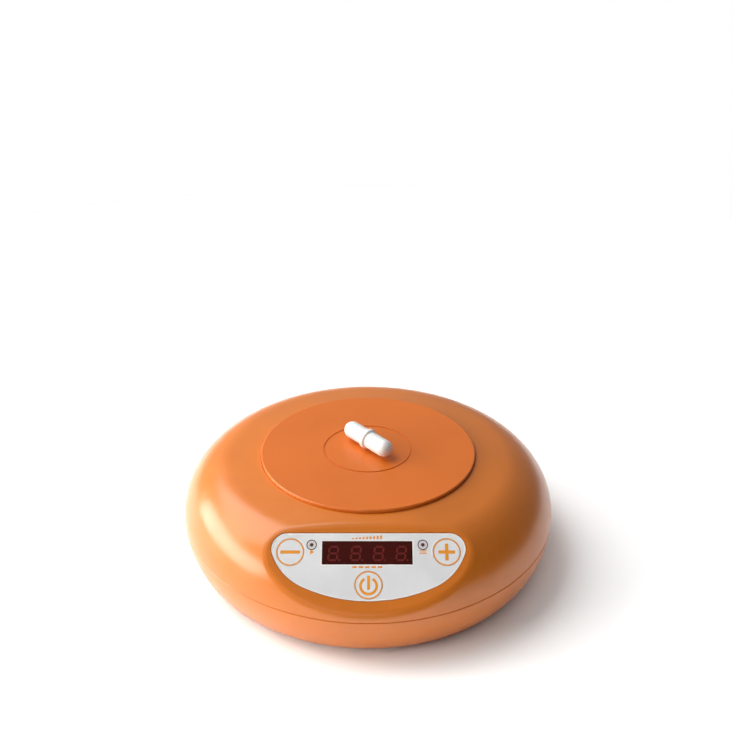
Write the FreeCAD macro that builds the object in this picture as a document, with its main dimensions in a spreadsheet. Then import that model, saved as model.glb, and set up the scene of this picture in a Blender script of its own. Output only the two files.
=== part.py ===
import FreeCAD, Part
import math
import os
import re
import Sketcher
from FreeCAD import Placement, Rotation, Vector

# A round bench-top magnetic stirrer.  Millimetres, +Z up, the origin at the centre of the
# footprint on the table.  The control panel slopes down towards -Y, the power inlet is at +Y.

SIZES = [
    # the body's outer form
    ("body_radius", 87, "radius of the body at its widest"),
    ("plate_top", 50, "height of the work plate above the table"),
    ("equator", 21.5, "height of the line where the two mouldings meet"),
    ("underside", 2, "height of the body's flat underside above the table"),
    ("crown_slope", 6, "slope of the crown round the plate, in degrees"),
    ("flank_radius", 32, "radius of the lower side, seen in section"),
    ("rim_round", 2.5, "rounding of the underside's rim"),
    ("wall", 2.4, "thickness of both mouldings"),
    ("seam", 0.3, "chamfer on each side of the parting line"),
    ("seal_width", 0.8, "width of the seal in the parting line"),
    ("seal_height", 1.2, "height of that seal"),
    # work plate
    ("plate_radius", 50, "radius of the work plate"),
    ("plate_thickness", 3, "thickness of the work plate"),
    ("plate_proud", 1.55, "how far the plate stands above the crown's edge"),
    ("plate_gap", 0.2, "gap between the plate and its seat"),
    ("plate_round", 0.6, "rounding of the plate's upper edge"),
    ("centring_radius", 20, "radius of the centring ring engraved in the plate"),
    ("centring_width", 0.9, "width of that ring"),
    ("centring_depth", 0.3, "depth of that ring"),
    # the sloping facet and what lies in it; 'down' is measured down the slope from the film's top edge
    ("panel_slope", 37, "slope of the facet, in degrees"),
    ("panel_land", 6.01, "width of the crown left between the plate's seat and the facet"),
    ("panel_drop", 4.04, "distance down the facet from its upper edge to the film's top edge"),
    ("crease_round", 5, "rounding where the facet meets the shoulder"),
    ("film_sunk", 0.2, "how far the film lies under the facet"),
    ("film_thickness", 0.6, "thickness of the film"),
    ("film_gap", 0.25, "gap round the film"),
    ("film_half", 41, "half the width of the film"),
    ("film_tall", 28, "height of the film along the slope"),
    ("film_belly", 66, "radius of the film's lower edge"),
    ("film_flank", 23.7, "radius of the film's sides"),
    ("film_corner", 6.5, "radius of the film's upper corners"),
    ("panel_wall", 2, "thickness of the moulding behind the film"),
    ("window_width", 37.2, "width of the display window"),
    ("window_tall", 9.8, "height of the display window"),
    ("window_down", 8.2, "middle of the window, down the slope"),
    ("window_aside", 0.5, "how far the window is off centre, to the left"),
    ("window_thickness", 0.55, "thickness of the window"),
    ("window_ledge", 0.9, "ledge under the window's edge"),
    ("side_key_aside", 32.15, "middle of the two speed keys from the centre line"),
    ("side_key_down", 7.9, "middle of the two speed keys, down the slope"),
    ("power_key_margin", 0.75, "film left under the power key"),
    ("key_radius", 5.75, "radius of a key"),
    ("key_gap", 0.1, "gap round a key in the film"),
    ("key_well_gap", 0.35, "gap round a key in the moulding"),
    ("key_thickness", 1.6, "thickness of a key's head"),
    ("key_stem_radius", 2.2, "radius of a key's stem"),
    ("key_free_play", 0.4, "gap between a key's stem and its switch"),
    ("switch_side", 6, "side of a switch's housing"),
    ("switch_height", 3.1, "height of a switch's housing"),
    ("switch_button_radius", 1.7, "radius of a switch's button"),
    ("switch_button_height", 0.65, "height of a switch's button"),
    ("pipe_radius", 1.45, "radius of an indicator's light pipe"),
    ("pipe_gap", 0.1, "gap round a light pipe in the moulding"),
    ("pipe_down", 4.9, "middle of the indicators, down the slope"),
    ("pipe_aside", 22.9, "middle of the indicators from the centre line"),
    ("lamp_length", 2, "length of an indicator's lamp"),
    ("lamp_width", 1.3, "width of an indicator's lamp"),
    ("lamp_height", 0.8, "height of an indicator's lamp"),
    ("lamp_gap", 0.2, "gap between a lamp and its light pipe"),
    # control board behind the panel
    ("board_sunk", 8, "depth of the control board's front under the film's face"),
    ("board_thickness", 1.6, "thickness of the control board"),
    ("board_half", 36, "half the width of the control board"),
    ("board_top_down", 1, "the control board's upper edge, down the slope"),
    ("board_corner_down", 13, "where the board's lower corners are cut, down the slope"),
    ("board_foot_down", 26.5, "the control board's lower edge, down the slope"),
    ("board_foot_half", 22, "half the width of the board's lower edge"),
    ("board_screw_aside", 24.5, "board screws from the centre line"),
    ("board_screw_down", 18.5, "board screws, down the slope"),
    ("board_boss_radius", 2.6, "radius of a board boss"),
    ("board_screw_radius", 1.1, "radius of a board screw"),
    ("board_screw_length", 5, "length of a board screw under its head"),
    ("board_head_radius", 2.1, "radius of a board screw's head"),
    ("board_head_height", 1.5, "height of a board screw's head"),
    ("chip_side", 10, "side of the controller chip"),
    ("chip_height", 1.5, "height of the controller chip"),
    ("chip_down", 12, "middle of the controller chip, down the slope"),
    ("header_length", 7.5, "length of a lead's header on the board"),
    ("header_width", 5, "width of a header"),
    ("header_height", 4.5, "height of a header"),
    ("header_aside", 17, "middle of a header from the centre line"),
    ("header_down", 12, "middle of a header, down the slope"),
    # base moulding
    ("floor", 2.4, "thickness of the floor"),
    ("post_circle", 66, "distance of the four screw posts from the centre"),
    ("post_radius", 5, "radius of a screw post"),
    ("boss_radius", 4, "radius of the boss that a housing screw bites in"),
    ("screw_sunk", 10, "depth of a housing screw's seat above the underside"),
    ("screw_well_radius", 3.2, "radius of the well for a housing screw's head"),
    ("screw_clearance", 0.2, "gap round a housing screw in its post"),
    ("screw_radius", 1.5, "radius of a housing screw"),
    ("screw_length", 20, "length of a housing screw under its head"),
    ("screw_head_radius", 2.8, "radius of a housing screw's head"),
    ("screw_head_height", 2.2, "height of a housing screw's head"),
    ("screw_socket_radius", 1.25, "radius of the recess in a screw's head"),
    ("foot_circle", 63, "distance of the four feet from the centre"),
    ("foot_radius", 7, "radius of a rubber foot"),
    ("foot_seat", 1, "how deep a foot sits in the underside"),
    ("label_length", 52, "length of the blank label under the base"),
    ("label_width", 30, "width of that label"),
    ("label_thickness", 0.2, "thickness of that label"),
    # power inlet
    ("inlet_height", 12, "height of the power inlet's axis"),
    ("inlet_sunk", 3.4, "depth of the inlet's flat recess in the curved side"),
    ("inlet_recess_width", 15, "width of that recess"),
    ("inlet_recess_tall", 12, "height of that recess"),
    ("inlet_wall", 2.6, "thickness of the wall behind the recess"),
    ("inlet_nose_radius", 3.9, "radius of the inlet's nose"),
    ("inlet_nose_gap", 0.1, "gap round the nose"),
    ("inlet_bore_radius", 2.9, "radius of the inlet's bore"),
    ("inlet_bore_depth", 9.5, "depth of the inlet's bore"),
    ("inlet_pin_radius", 1, "radius of the inlet's centre pin"),
    ("inlet_pin_length", 8.5, "length of the centre pin inside the bore"),
    ("inlet_root_radius", 1.6, "radius of the centre pin's root in the housing"),
    ("inlet_side", 9, "side of the inlet's housing"),
    ("inlet_length", 12, "length of the inlet's housing"),
    # motor: bracket, bearings, stator
    ("motor_boss_height", 3.8, "height of the three bosses under the motor"),
    ("motor_boss_radius", 4, "radius of those bosses"),
    ("bracket_radius", 25.5, "radius of the motor bracket"),
    ("bracket_thickness", 1.2, "thickness of the motor bracket"),
    ("bracket_circle", 21.4, "distance of the bracket's screws from the axis"),
    ("bracket_screw_radius", 1.25, "radius of a bracket screw"),
    ("bracket_screw_length", 6, "length of a bracket screw under its head"),
    ("bracket_head_radius", 2.5, "radius of a bracket screw's head"),
    ("bracket_head_height", 1.6, "height of a bracket screw's head"),
    ("tube_radius", 5.5, "outer radius of the bearing tube"),
    ("tube_length", 13, "length of the bearing tube"),
    ("tube_under", 1.2, "how far the tube reaches under the bracket"),
    ("tube_cap", 1, "thickness of the tube's closed end"),
    ("bearing_radius", 4.5, "outer radius of a bearing"),
    ("bearing_height", 4, "height of a bearing"),
    ("bearing_gap", 0.04, "running gap between the shaft and a bearing"),
    ("drive_board_radius", 16, "radius of the drive board"),
    ("drive_board_thickness", 1, "thickness of the drive board"),
    ("drive_tab_reach", 25, "how far the drive board's tab reaches"),
    ("drive_tab_width", 8, "width of that tab"),
    ("sensor_reach", 14.4, "distance of the position sensor from the axis"),
    ("sensor_length", 4, "length of the position sensor"),
    ("sensor_width", 1.6, "width of the position sensor"),
    ("sensor_height", 1.2, "height of the position sensor"),
    ("core_lift", 2.5, "gap between the drive board and the stator core"),
    ("core_height", 5, "height of the stator core"),
    ("core_radius", 14.8, "outer radius of the stator core"),
    ("core_hub_radius", 7.8, "outer radius of the core's hub"),
    ("core_shoe", 2.2, "thickness of a tooth's shoe"),
    ("tooth_width", 4, "width of a stator tooth"),
    ("shoe_slot", 4, "width of the slots between the shoes"),
    ("coil_build", 2.1, "thickness of the winding beside a tooth"),
    ("coil_over", 1, "thickness of the winding over and under a tooth"),
    ("coil_clear", 0.2, "gap at both ends of a winding"),
    # rotor
    ("shaft_radius", 2, "radius of the shaft"),
    ("shaft_foot_gap", 0.3, "gap under the shaft"),
    ("air_gap", 0.6, "gap between the stator and the ring magnet"),
    ("ring_magnet_thickness", 1.5, "thickness of the ring magnet"),
    ("ring_magnet_height", 6, "height of the ring magnet"),
    ("cup_wall", 1.1, "thickness of the rotor cup"),
    ("cup_gap", 0.9, "gap between the bearing tube and the cup"),
    ("cup_height", 10.2, "height of the rotor cup"),
    ("hub_radius", 5, "radius of the rotor's hub"),
    ("yoke_length", 54, "length of the iron yoke under the drive magnets"),
    ("yoke_width", 16, "width of the yoke"),
    ("yoke_thickness", 2.5, "thickness of the yoke"),
    ("carrier_radius", 28.5, "radius of the magnet carrier"),
    ("carrier_height", 8, "height of the magnet carrier"),
    ("carrier_gap", 1.2, "gap between the magnet carrier and the top moulding"),
    ("magnet_radius", 7.5, "radius of a drive magnet"),
    ("magnet_height", 7.4, "height of a drive magnet"),
    ("magnet_reach", 19, "distance of a drive magnet from the axis"),
    # stir bar
    ("bar_angle", -49, "direction of the stir bar and the drive magnets, in degrees"),
    ("bar_radius", 4, "radius of the stir bar"),
    ("bar_length", 30, "length of the stir bar"),
    ("bar_ring_radius", 4.8, "radius of the ring round the stir bar's middle"),
    ("bar_ring_width", 3.2, "width of that ring"),
    ("bar_ring_round", 0.7, "chamfer of that ring"),
    ("bar_lift", 0.3, "gap between the stir bar and the plate"),
    ("bar_core_radius", 2.6, "radius of the magnet inside the stir bar"),
    ("bar_core_length", 22, "length of that magnet"),
    # leads inside the housing
    ("lead_radius", 0.9, "radius of a lead"),
    ("lead_lift", 3, "height of the leads above the floor"),
    ("lead_clear", 17, "how far the leads keep from the bracket"),
    ("lead_run", 12, "straight run of a lead behind its header"),
]

doc = FreeCAD.newDocument("magnetic_stirrer")
sheet = doc.addObject("Spreadsheet::Sheet", "Sizes")
for row, (alias, number, meaning) in enumerate(SIZES, start=1):
    sheet.set(f"A{row}", str(number))
    sheet.setAlias(f"A{row}", alias)
    sheet.set(f"B{row}", meaning)
doc.recompute()

# Places that follow from the sizes, each worked out once.
PLACES = [
    ("crown", "plate_top - plate_proud"),
    ("seat_radius", "plate_radius + plate_gap"),
    ("seat", "plate_top - plate_thickness"),
    ("deck", "seat - wall"),
    ("shoulder", "(crown - equator - (body_radius - seat_radius) * tan(crown_slope))"
                 " / (cos(crown_slope) - tan(crown_slope) + sin(crown_slope) * tan(crown_slope))"),
    ("crown_rim", "body_radius - shoulder + shoulder * sin(crown_slope)"),
    ("crown_rim_height", "equator + shoulder * cos(crown_slope)"),
    ("inner_shoulder", "shoulder - wall"),
    ("inner_rim", "body_radius - shoulder + inner_shoulder * sin(crown_slope)"),
    ("inner_rim_height", "equator + inner_shoulder * cos(crown_slope)"),
    ("step_radius", "seat_radius + wall"),
    ("step_height", "inner_rim_height + (inner_rim - step_radius) * tan(crown_slope)"),
    ("flank_centre", "body_radius - flank_radius"),
    ("rim_radius", "flank_centre + sqrt(flank_radius ^ 2 - (equator - underside) ^ 2)"),
    ("floor_top", "underside + floor"),
    ("inner_rim_radius", "flank_centre + sqrt((flank_radius - wall) ^ 2 - (equator - floor_top) ^ 2)"),
    ("panel_y", "seat_radius + panel_land + panel_drop * cos(panel_slope) - film_sunk * sin(panel_slope)"),
    ("panel_z", "crown - panel_land * tan(crown_slope) - panel_drop * sin(panel_slope)"
                " - film_sunk * cos(panel_slope)"),
    ("power_key_down", "film_tall - key_radius - power_key_margin"),
    ("panel_back", "film_thickness + panel_wall"),
    ("board_back", "board_sunk + board_thickness"),
    ("switch_top", "board_sunk - switch_height - switch_button_height"),
    ("key_foot", "switch_top - key_free_play"),
    ("screw_seat", "underside + screw_sunk"),
    ("side_at_inlet", "flank_centre + sqrt(flank_radius ^ 2 - (equator - inlet_height) ^ 2)"),
    ("inlet_face", "side_at_inlet - inlet_sunk"),
    ("inlet_back", "inlet_face - inlet_wall - inlet_length"),
    ("inlet_bore_end", "inlet_face - inlet_bore_depth"),
    ("bracket_foot", "floor_top + motor_boss_height"),
    ("bracket_head", "bracket_foot + bracket_thickness"),
    ("tube_foot", "bracket_foot - tube_under"),
    ("tube_head", "tube_foot + tube_length"),
    ("drive_board_head", "bracket_head + drive_board_thickness"),
    ("core_foot", "drive_board_head + core_lift"),
    ("coil_foot", "core_foot - coil_over"),
    ("coil_width", "tooth_width + 2 * coil_build"),
    ("coil_start", "core_hub_radius + coil_clear"),
    ("coil_end", "sqrt((core_radius - core_shoe) ^ 2 - coil_width ^ 2 / 4) - coil_clear"),
    ("coil_length", "coil_end - coil_start"),
    ("coil_middle", "(coil_start + coil_end) / 2"),
    ("shaft_foot", "tube_foot + tube_cap + shaft_foot_gap"),
    ("ring_magnet_inner", "core_radius + air_gap"),
    ("ring_magnet_outer", "ring_magnet_inner + ring_magnet_thickness"),
    ("cup_radius", "ring_magnet_outer + cup_wall"),
    ("cup_head", "tube_head + cup_gap + cup_wall"),
    ("cup_foot", "cup_head - cup_height"),
    ("carrier_head", "deck - carrier_gap"),
    ("carrier_foot", "carrier_head - carrier_height"),
    ("yoke_foot", "carrier_foot - yoke_thickness"),
    ("bar_height", "plate_top + bar_lift + bar_ring_radius"),
    ("lead_height", "floor_top + lead_lift"),
    ("lead_reach", "bracket_radius + lead_clear"),
]

places = doc.addObject("App::VarSet", "Places")
OWNER = {alias: "Sizes." for alias, number, meaning in SIZES}
OWNER.update({name: "Places." for name, formula in PLACES})


def bind(text):
    """Names the owner of every size and place in an expression."""
    return re.sub(r"[a-z_]+", lambda word: OWNER.get(word.group(), "") + word.group(), str(text))


def value(text):
    """The number that an expression gives now."""
    return float(places.evalExpression(bind(text)))


for name, formula in PLACES:
    places.addProperty("App::PropertyFloat", name)
    places.setExpression(name, bind(formula))
    doc.recompute()

parts = []


def sub_part(label, item):
    """Marks an object as one of the stirrer's pieces; its label names its file."""
    item.Label = label
    parts.append(item)
    return item


def put(item, at, turn=None):
    """Places an object: three expressions, and an axis with an angle expression."""
    if turn:
        axis, angle = turn
        item.Placement = Placement(Vector(), Rotation(Vector(*axis), 1))
        item.setExpression("Placement.Rotation.Angle", bind(angle))
    for letter, expression in zip("xyz", at):
        item.setExpression(f"Placement.Base.{letter}", bind(expression))
    return item


def primitive(kind, name, at, turn, sizes):
    item = doc.addObject(f"Part::{kind}", name)
    for size, expression in sizes.items():
        item.setExpression(size, bind(expression))
    return put(item, at, turn)


def cylinder(name, radius, height, at, turn=None):
    return primitive("Cylinder", name, at, turn, {"Radius": radius, "Height": height})


def box(name, length, width, height, at, turn=None):
    """A box that stands on the point given, centred on it in length and width."""
    item = primitive("Box", name + "_block", (f"-({length}) / 2", f"-({width}) / 2", 0), None,
                     {"Length": length, "Width": width, "Height": height})
    return put(hold(name, item), at, turn)


def join(kind, name, items):
    item = doc.addObject(f"Part::{kind}", name)
    item.Shapes = items
    return item


def hold(name, item):
    """Wraps one object in another, which can be turned and placed as a whole."""
    return join("MultiCommon", name, [item])


def fuse(name, items):
    return join("MultiFuse", name, items)


def cut(name, base, tools):
    """Takes one or more objects away from another."""
    item = doc.addObject("Part::Cut", name)
    item.Base = base
    item.Tool = tools[0] if len(tools) == 1 else fuse(name + "_tools", tools)
    return item


def common(name, base, tool):
    item = doc.addObject("Part::Common", name)
    item.Base = base
    item.Tool = tool
    return item


def ring(name, outer, inner, height, at, turn=None):
    """A round collar that stands on the point given."""
    blank = cylinder(name + "_blank", outer, height, (0, 0, 0))
    hole = cylinder(name + "_hole", inner, height, (0, 0, 0))
    return put(cut(name, blank, [hole]), at, turn)


def on_panel(aside, down, above):
    """A point of the panel: sideways, down the slope and out of the film's face."""
    return (aside,
            f"-panel_y - ({down}) * cos(panel_slope) - ({above}) * sin(panel_slope)",
            f"panel_z - ({down}) * sin(panel_slope) + ({above}) * cos(panel_slope)")


PANEL_TURN = ((1, 0, 0), "panel_slope")
BAR_TURN = ((0, 0, 1), "bar_angle")


def origin_plane(body, role):
    """One of a body's own origin planes, such as XY_Plane."""
    return next(plane for plane in body.Origin.OriginFeatures if plane.Role == role)


def outline(body, plane, points, arcs=None):
    """A closed sketch: points are pairs of expressions, arcs gives an edge's radius and side.

    Edge n runs from point n to the next; a side of 1 bulges to the right of that run."""
    sketch = body.newObject("Sketcher::SketchObject", body.Name + "_outline")
    sketch.AttachmentSupport = (origin_plane(body, plane), [""])
    sketch.MapMode = "FlatFace"
    spots = [Vector(value(x), value(y), 0) for x, y in points]
    starts = []
    ends = []
    for number, here in enumerate(spots):
        there = spots[(number + 1) % len(spots)]
        if arcs and number in arcs:
            radius, side = arcs[number]
            run = there - here
            across = Vector(run.y, -run.x, 0).normalize() * side
            sagitta = value(radius) - math.sqrt(value(radius) ** 2 - run.Length ** 2 / 4)
            middle = (here + there) / 2 + across * sagitta
            edge = sketch.addGeometry(Part.Arc(here, middle, there))
            forward = sketch.getPoint(edge, 1).distanceToPoint(here) < 1e-6
            starts.append((edge, 1 if forward else 2))
            ends.append((edge, 2 if forward else 1))
            held = sketch.addConstraint(Sketcher.Constraint("Radius", edge, value(radius)))
            sketch.setExpression(f"Constraints[{held}]", bind(radius))
        else:
            edge = sketch.addGeometry(Part.LineSegment(here, there))
            starts.append((edge, 1))
            ends.append((edge, 2))
    for number, (start, finish) in enumerate(zip(starts, ends[-1:] + ends[:-1])):
        sketch.addConstraint(Sketcher.Constraint("Coincident", *start, *finish))
        for way, axis, expression in zip("XY", (-2, -1), points[number]):
            if str(expression) == "0":
                sketch.addConstraint(Sketcher.Constraint("PointOnObject", *start, axis))
            else:
                rule = Sketcher.Constraint("Distance" + way, -1, 1, *start, value(expression))
                held = sketch.addConstraint(rule)
                sketch.setExpression(f"Constraints[{held}]", bind(expression))
    doc.recompute()
    return sketch


def lathe(name, points, arcs=None, at=None):
    """A body turned about its upright axis from an outline of radius and height."""
    body = doc.addObject("PartDesign::Body", name)
    turned = body.newObject("PartDesign::Revolution", name + "_turned")
    turned.Profile = outline(body, "XZ_Plane", points, arcs)
    turned.ReferenceAxis = (turned.Profile[0], ["V_Axis"])
    turned.Angle = 360
    body.Tip = turned
    doc.recompute()
    return put(body, at) if at else body


def padded(name, sketch_of, thickness, at, turn=None):
    """A body raised from a sketch in its own XY plane."""
    body = doc.addObject("PartDesign::Body", name)
    pad = body.newObject("PartDesign::Pad", name + "_pad")
    pad.Profile = sketch_of(body)
    pad.setExpression("Length", bind(thickness))
    body.Tip = pad
    doc.recompute()
    return put(body, at, turn)


def facet(body, above):
    """Cuts a body by the plane that lies a given height above the film's face."""
    beyond = 4
    high = "plate_top + body_radius"
    top = on_panel(0, "-plate_radius", above)[1:]
    foot = on_panel(0, "body_radius", above)[1:]
    whole = body.Tip.Shape.Volume
    cutter = body.newObject("PartDesign::Pocket", body.Name + "_facet")
    cutter.Profile = outline(body, "YZ_Plane", [top, foot, (foot[0], high), (top[0], high)])
    cutter.SideType = "Symmetric"
    cutter.setExpression("Length", bind(f"{beyond} * body_radius"))
    body.Tip = cutter
    doc.recompute()
    if not cutter.Shape.Volume < whole - 1:
        raise RuntimeError(f"{body.Name}: the facet removes nothing")
    return cutter


def round_edges(body, radius, wanted):
    """Rounds the edges of a body that a test picks out."""
    solid = body.Tip
    names = [f"Edge{number}" for number, edge in enumerate(solid.Shape.Edges, start=1) if wanted(edge)]
    rounding = body.newObject("PartDesign::Fillet", body.Name + "_round")
    rounding.Base = (solid, names)
    rounding.setExpression("Radius", bind(radius))
    body.Tip = rounding
    doc.recompute()


def film_outline(spread):
    """Returns a maker of the film's outline, spread outwards by a gap: a straight top edge
    along the X axis, round corners and sides, and a wide round belly, all tangent."""
    def make(body):
        sketch = body.newObject("Sketcher::SketchObject", body.Name + "_outline")
        sketch.AttachmentSupport = (origin_plane(body, "XY_Plane"), [""])
        sketch.MapMode = "FlatFace"
        more = value(spread)
        belly = value("film_belly")
        flank = value("film_flank")
        corner = value("film_corner")
        belly_y = belly - value("film_tall")
        flank_x = value("film_half") - flank
        flank_y = belly_y - math.sqrt((belly - flank) ** 2 - flank_x ** 2)
        corner_y = -corner
        corner_x = flank_x + math.sqrt((flank - corner) ** 2 - (flank_y - corner_y) ** 2)
        low = math.atan2(flank_y - belly_y, flank_x)
        high = math.atan2(corner_y - flank_y, corner_x - flank_x)
        up = math.pi / 2
        rounds = [
            (0, belly_y, belly, -math.pi - low, low),
            (flank_x, flank_y, flank, low, high),
            (corner_x, corner_y, corner, high, up),
            (-corner_x, corner_y, corner, up, math.pi - high),
            (-flank_x, flank_y, flank, math.pi - high, math.pi - low),
        ]
        for x, y, radius, first, last in rounds:
            circle = Part.Circle(Vector(x, y, 0), Vector(0, 0, 1), radius + more)
            sketch.addGeometry(Part.ArcOfCircle(circle, first, last))
        sketch.addGeometry(Part.LineSegment(Vector(corner_x, more, 0), Vector(-corner_x, more, 0)))
        rules = [("Tangent", 0, 2, 1, 1), ("Tangent", 1, 2, 2, 1), ("Tangent", 2, 2, 5, 1),
                 ("Tangent", 5, 2, 3, 1), ("Tangent", 3, 2, 4, 1), ("Tangent", 4, 2, 0, 1),
                 ("Equal", 1, 4), ("Equal", 2, 3), ("PointOnObject", 0, 3, -2),
                 ("Symmetric", 2, 3, 3, 3, -2)]
        for rule in rules:
            sketch.addConstraint(Sketcher.Constraint(*rule))
        sizes = [(("Radius", 0), "film_belly"), (("Radius", 1), "film_flank"), (("Radius", 2), "film_corner")]
        for rule, size in sizes:
            held = sketch.addConstraint(Sketcher.Constraint(*rule, value(f"{size} + {spread}")))
            sketch.setExpression(f"Constraints[{held}]", bind(f"{size} + {spread}"))
        offsets = [("DistanceY", (0, 3), "film_belly - film_tall"), ("DistanceX", (1, 3), "film_half - film_flank")]
        if more:
            offsets.append(("DistanceY", (5, 1), spread))
        else:
            sketch.addConstraint(Sketcher.Constraint("PointOnObject", 5, 1, -1))
        for way, point, size in offsets:
            held = sketch.addConstraint(Sketcher.Constraint(way, -1, 1, *point, value(size)))
            sketch.setExpression(f"Constraints[{held}]", bind(size))
        doc.recompute()
        return sketch
    return make


def lead(name, points):
    """A round lead: straight runs through the points, joined by tangent arcs."""
    spots = [Vector(*[value(part) for part in point]) for point in points]
    edges = []
    start = spots[0]
    for before, here, after in zip(spots, spots[1:], spots[2:]):
        back = before - here
        ahead = after - here
        reach = 0.45 * min(back.Length, ahead.Length)
        back.normalize()
        ahead.normalize()
        entry = here + back * reach
        leave = here + ahead * reach
        turn = math.pi - back.getAngle(ahead)
        radius = reach / math.tan(turn / 2)
        inward = (back + ahead).normalize()
        middle = here + inward * (radius / math.cos(turn / 2) - radius)
        edges.append(Part.LineSegment(start, entry).toShape())
        edges.append(Part.Arc(entry, middle, leave).toShape())
        start = leave
        print(f"{name}: bend radius {radius:.1f}")
    edges.append(Part.LineSegment(start, spots[-1]).toShape())
    spine = Part.Wire(edges)
    thick = value("lead_radius")
    section = Part.Wire([Part.Circle(spots[0], spots[1] - spots[0], thick).toShape()])
    item = doc.addObject("Part::Feature", name)
    item.Shape = spine.makePipeShell([section], True, True)
    print(f"{name}: volume {item.Shape.Volume:.1f}, length times section "
          f"{spine.Length * math.pi * thick ** 2:.1f}")
    return item


# ---- top moulding: form, cavity, bosses, then every opening -------------------------------

top_form = lathe("top_form", [
    ("0", "equator"),
    ("body_radius - seam", "equator"),
    ("body_radius", "equator + seam"),
    ("crown_rim", "crown_rim_height"),
    ("seat_radius", "crown"),
    ("seat_radius", "seat"),
    ("0", "seat"),
], {2: ("shoulder", 1)})
facet(top_form, "film_sunk")
flat = next(face for face in top_form.Tip.Shape.Faces
            if face.Surface.TypeId == "Part::GeomPlane" and face.normalAt(0, 0).y < -0.1)
round_edges(top_form, "crease_round", lambda edge: any(edge.isSame(other) for other in flat.Edges))

top_cavity = lathe("top_cavity", [
    ("0", "equator - wall"),
    ("body_radius - wall", "equator - wall"),
    ("body_radius - wall", "equator"),
    ("inner_rim", "inner_rim_height"),
    ("step_radius", "step_height"),
    ("step_radius", "deck"),
    ("0", "deck"),
], {2: ("inner_shoulder", 1)})
facet(top_cavity, "-panel_back")

DIAGONALS = [45, 135, 225, 315]
SIDES = [0, 90, 180, 270]


def around(circle, angle, height):
    """A point on a circle about the upright axis."""
    return (f"({circle}) * cos({angle})", f"({circle}) * sin({angle})", height)


SIDE_KEYS = {"minus": "-side_key_aside", "plus": "side_key_aside"}
KEYS = {name: (aside, "side_key_down") for name, aside in SIDE_KEYS.items()}
KEYS["power"] = ("0", "power_key_down")
PIPES = {"run": "-pipe_aside - window_aside", "settings": "pipe_aside - window_aside"}
BOARD_SCREWS = {"left": "-board_screw_aside", "right": "board_screw_aside"}

bosses = [cylinder(f"top_boss_{angle}", "boss_radius", "plate_top - equator",
                   around("post_circle", angle, "equator")) for angle in DIAGONALS]
bosses += [cylinder(f"board_boss_{side}", "board_boss_radius", "board_sunk",
                    on_panel(aside, "board_screw_down", "-board_sunk"), PANEL_TURN)
           for side, aside in BOARD_SCREWS.items()]
boss_group = common("top_bosses", fuse("top_boss_blanks", bosses), top_form)
top_walls = cut("top_walls", top_form, [top_cavity])
top_blank = fuse("top_blank", [top_walls, boss_group])

reach = "board_sunk + board_thickness"
openings = [padded("film_pocket", film_outline("film_gap"), "board_sunk",
                   on_panel(0, 0, "-film_thickness"), PANEL_TURN)]
openings += [cylinder(f"key_well_{name}", "key_radius + key_well_gap", reach,
                      on_panel(aside, down, f"-({reach})"), PANEL_TURN)
             for name, (aside, down) in KEYS.items()]
openings += [cylinder(f"pipe_hole_{name}", "pipe_radius + pipe_gap", reach,
                      on_panel(aside, "pipe_down", f"-({reach})"), PANEL_TURN)
             for name, aside in PIPES.items()]
openings += [cylinder(f"board_screw_hole_{side}", "board_screw_radius", "board_screw_length",
                      on_panel(aside, "board_screw_down", "-board_back"), PANEL_TURN)
             for side, aside in BOARD_SCREWS.items()]
openings += [cylinder(f"screw_hole_{angle}", "screw_radius", "screw_length",
                      around("post_circle", angle, "screw_seat")) for angle in DIAGONALS]
openings.append(box("display_opening", "window_width - 2 * window_ledge", "window_tall - 2 * window_ledge",
                    "board_sunk", on_panel("-window_aside", "window_down", "-board_sunk"), PANEL_TURN))
seal_sizes = ("body_radius - (wall - seal_width) / 2", "body_radius - (wall + seal_width) / 2", "seal_height",
              (0, 0, "equator - seal_height / 2"))
openings.append(ring("top_seal_groove", *seal_sizes))
sub_part("top_shell", cut("top_moulding", top_blank, openings))

# ---- bottom moulding ---------------------------------------------------------------------

bottom_form = lathe("bottom_form", [
    ("0", "underside"),
    ("rim_radius", "underside"),
    ("body_radius", "equator - seam"),
    ("body_radius - seam", "equator"),
    ("0", "equator"),
], {1: ("flank_radius", 1)})
just_above = value("underside + seam")
round_edges(bottom_form, "rim_round", lambda edge: edge.BoundBox.ZMax < just_above)

bottom_cavity = lathe("bottom_cavity", [
    ("0", "floor_top"),
    ("inner_rim_radius", "floor_top"),
    ("body_radius - wall", "equator"),
    ("body_radius - wall", "equator + wall"),
    ("0", "equator + wall"),
], {1: ("flank_radius - wall", 1)})
bottom_walls = cut("bottom_walls", bottom_form, [bottom_cavity])

MOTOR_SCREWS = [30, 150, 270]
inside = [cylinder(f"post_{angle}", "post_radius", "equator - underside - floor / 2",
                   around("post_circle", angle, "underside + floor / 2")) for angle in DIAGONALS]
inside += [cylinder(f"motor_boss_{angle}", "motor_boss_radius", "motor_boss_height + floor / 2",
                    around("bracket_circle", angle, "underside + floor / 2")) for angle in MOTOR_SCREWS]
inlet_block = box("inlet_block", "inlet_recess_width + 2 * wall", "2 * (inlet_wall + inlet_sunk)",
                  "inlet_height + inlet_recess_tall / 2 + wall - underside",
                  (0, "inlet_face + inlet_sunk", "underside"))
inlet_wall_block = common("inlet_wall_block", inlet_block, bottom_form)
inlet_stand = box("inlet_stand", "inlet_side", "inlet_length",
                  "inlet_height - inlet_side / 2 - underside - floor / 2",
                  (0, "inlet_back + inlet_length / 2", "underside + floor / 2"))
bottom_blank = fuse("bottom_blank", [bottom_walls, inlet_wall_block, inlet_stand] + inside)

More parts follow.
